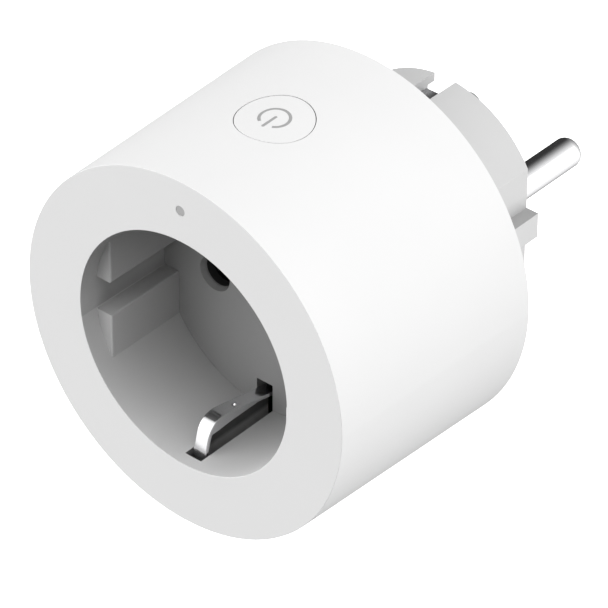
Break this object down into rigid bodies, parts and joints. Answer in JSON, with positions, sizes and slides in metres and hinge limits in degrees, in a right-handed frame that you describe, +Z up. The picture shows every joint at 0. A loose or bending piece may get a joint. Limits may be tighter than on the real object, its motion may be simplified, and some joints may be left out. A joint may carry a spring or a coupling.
{
  "type": "smart plug",
  "caption": "Round tapered smart plug: side-earth socket in front, top push button, round-pin plug base behind.",
  "frame": {"origin": "middle of the plug's flat contact face, between the two pins", "axes": "+Z up through the push button, +Y along the pins into the wall socket, -Y out of the front socket"},
  "size_m": [0.0614, 0.0768, 0.0614],
  "materials": {
    "shell_plastic": "fine satin white",
    "insert_plastic": "satin white",
    "base_plastic": "satin white",
    "button_plastic": "fine satin white",
    "light_pipe_plastic": "grey translucent",
    "screw_steel": "zinc plated",
    "pin_nickel": "polished nickel",
    "earth_metal": "nickel plated strip",
    "clip_metal": "bright nickel plated spring strip",
    "contact_brass": "plain brass",
    "busbar_copper": "plain copper",
    "carrier_plastic": "dark grey glass-filled",
    "shutter_plastic": "black",
    "spring_steel": "bright wire",
    "board_laminate": "green solder mask",
    "shield_tin": "tinned sheet",
    "relay_plastic": "black moulded",
    "bobbin_plastic": "black moulded",
    "winding_copper": "enamelled wire",
    "soft_iron": "zinc plated",
    "ferrite": "dark sintered",
    "capacitor_sleeve": "shrink sleeve",
    "film_capacitor_case": "yellow box",
    "varistor_coating": "blue dipped",
    "fuse_body": "green lacquer",
    "chip_plastic": "black moulded",
    "led_plastic": "milky"
  },
  "bodies": {
    "casing": {"board_pins": "contact_brass", "bulk_capacitor": "capacitor_sleeve", "button_board": "board_laminate", "carrier_screws": "screw_steel", "contact_carrier": "carrier_plastic", "cover_screws": "screw_steel", "earth_bridge": "earth_metal", "earth_pin_contact": "contact_brass", "earth_rivets": "earth_metal", "filter_capacitor": "film_capacitor_case", "front_shell": "shell_plastic", "fuse_resistor": "fuse_body", "light_pipe": "light_pipe_plastic", "link_wires": "busbar_copper", "live_busbar": "busbar_copper", "live_contact": "contact_brass", "live_pin": "pin_nickel", "lower_earth_strip": "earth_metal", "main_board": "board_laminate", "metering_chip": "chip_plastic", "neutral_busbar": "busbar_copper", "neutral_contact": "contact_brass", "neutral_pin": "pin_nickel", "plug_base": "base_plastic", "power_board": "board_laminate", "power_chip": "chip_plastic", "radio_module": "board_laminate", "radio_shield": "shield_tin", "rear_cover": "base_plastic", "rectifier": "chip_plastic", "relay_base": "relay_plastic", "relay_bobbin": "bobbin_plastic", "relay_case": "relay_plastic", "relay_coil": "winding_copper", "relay_core": "soft_iron", "relay_fixed_contact": "busbar_copper", "relay_yoke": "soft_iron", "shutter_pivot": "spring_steel", "shutter_spring": "spring_steel", "socket_insert": "insert_plastic", "status_led": "led_plastic", "tact_switch_body": "chip_plastic", "tact_switch_cover": "shield_tin", "transformer_base": "bobbin_plastic", "transformer_core": "ferrite", "transformer_winding": "winding_copper", "upper_earth_strip": "earth_metal", "varistor": "varistor_coating"},
    "button": {"button_cap": "button_plastic"},
    "switch_plunger": {"tact_plunger": "chip_plastic"},
    "shutter": {"shutter_rotor": "shutter_plastic"},
    "upper_clip": {"upper_earth_clip": "clip_metal"},
    "lower_clip": {"lower_earth_clip": "clip_metal"},
    "relay_lever": {"relay_armature": "soft_iron", "relay_moving_contact": "busbar_copper"}
  },
  "joints": [
    {"name": "button_press", "type": "slide", "parent": "casing", "child": "button", "axis": [0, 0, -1], "range_m": [0, 0.00035], "stiffness_N_per_m": 300},
    {"name": "switch_plunger_press", "type": "slide", "parent": "casing", "child": "switch_plunger", "axis": [0, 0, -1], "range_m": [0, 0.00035]},
    {"name": "shutter_turn", "type": "hinge", "parent": "casing", "child": "shutter", "pos_m": [0, -0.0361, 0], "axis": [0, 1, 0], "range_deg": [0, 38], "stiffness_Nm_per_rad": 0.004},
    {"name": "upper_clip_flex", "type": "hinge", "parent": "casing", "child": "upper_clip", "pos_m": [0, -0.0362, 0.0176], "axis": [-1, 0, 0], "range_deg": [0, 11], "stiffness_Nm_per_rad": 0.002},
    {"name": "lower_clip_flex", "type": "hinge", "parent": "casing", "child": "lower_clip", "pos_m": [0, -0.0362, -0.0176], "axis": [1, 0, 0], "range_deg": [0, 11], "stiffness_Nm_per_rad": 0.002},
    {"name": "relay_armature_rock", "type": "hinge", "parent": "casing", "child": "relay_lever", "pos_m": [0, -0.01796, -0.0038], "axis": [1, 0, 0], "range_deg": [0, 3], "stiffness_Nm_per_rad": 0.002}
  ],
  "couplings": [
    {"joint": "switch_plunger_press", "follows": "button_press", "ratio": 1}
  ]
}
